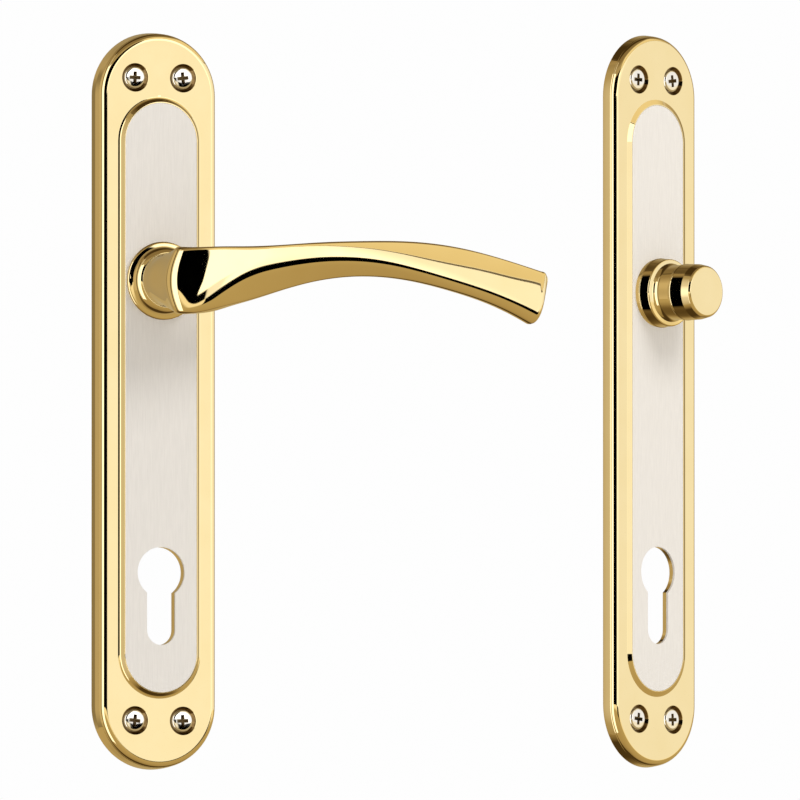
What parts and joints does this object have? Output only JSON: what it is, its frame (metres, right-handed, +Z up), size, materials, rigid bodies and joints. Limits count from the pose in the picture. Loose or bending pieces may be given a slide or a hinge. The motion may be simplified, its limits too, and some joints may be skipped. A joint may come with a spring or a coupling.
{
  "type": "backplate door handle set",
  "caption": "Lever and fixed knob on long two-tone backplates with euro profile cylinder cut-outs, for a sprung lever lock.",
  "frame": {"origin": "lever spindle axis where it crosses the door face behind the lever plate", "axes": "+X the way the lever points, +Y into the door, +Z up"},
  "size_m": [0.224, 0.0839, 0.2524],
  "materials": {
    "polished_brass": "mirror polished and lacquered",
    "satin_inlay": "satin nickel, brushed lengthwise",
    "brass_screw": "brass plated",
    "bush_nylon": "natural nylon",
    "spring_steel": "oiled spring steel",
    "zinc_steel": "zinc plated"
  },
  "bodies": {
    "root": {"lever_plate": "polished_brass", "lever_panel": "satin_inlay", "lever_collar": "polished_brass", "lever_bush": "bush_nylon", "return_spring": "spring_steel", "spring_cover": "zinc_steel", "cover_screws": "zinc_steel", "lever_plate_screws": "brass_screw", "knob_plate": "polished_brass", "knob_panel": "satin_inlay", "knob_collar": "polished_brass", "knob": "polished_brass", "knob_screw": "zinc_steel", "knob_washer": "zinc_steel", "knob_spring_washer": "spring_steel", "knob_pin": "zinc_steel", "knob_plate_screws": "brass_screw"},
    "lever_body": {"lever": "polished_brass", "spindle": "zinc_steel", "grub_screw": "zinc_steel", "spring_driver": "zinc_steel", "shim_washer": "zinc_steel", "circlip": "spring_steel"}
  },
  "joints": [
    {"name": "lever_turn", "type": "hinge", "parent": "root", "child": "lever_body", "pos_m": [0, 0, 0], "axis": [0, 1, 0], "range_deg": [0, 45], "stiffness_Nm_per_rad": 0.6, "springref_deg": -34.38, "deforming": ["return_spring"]}
  ]
}
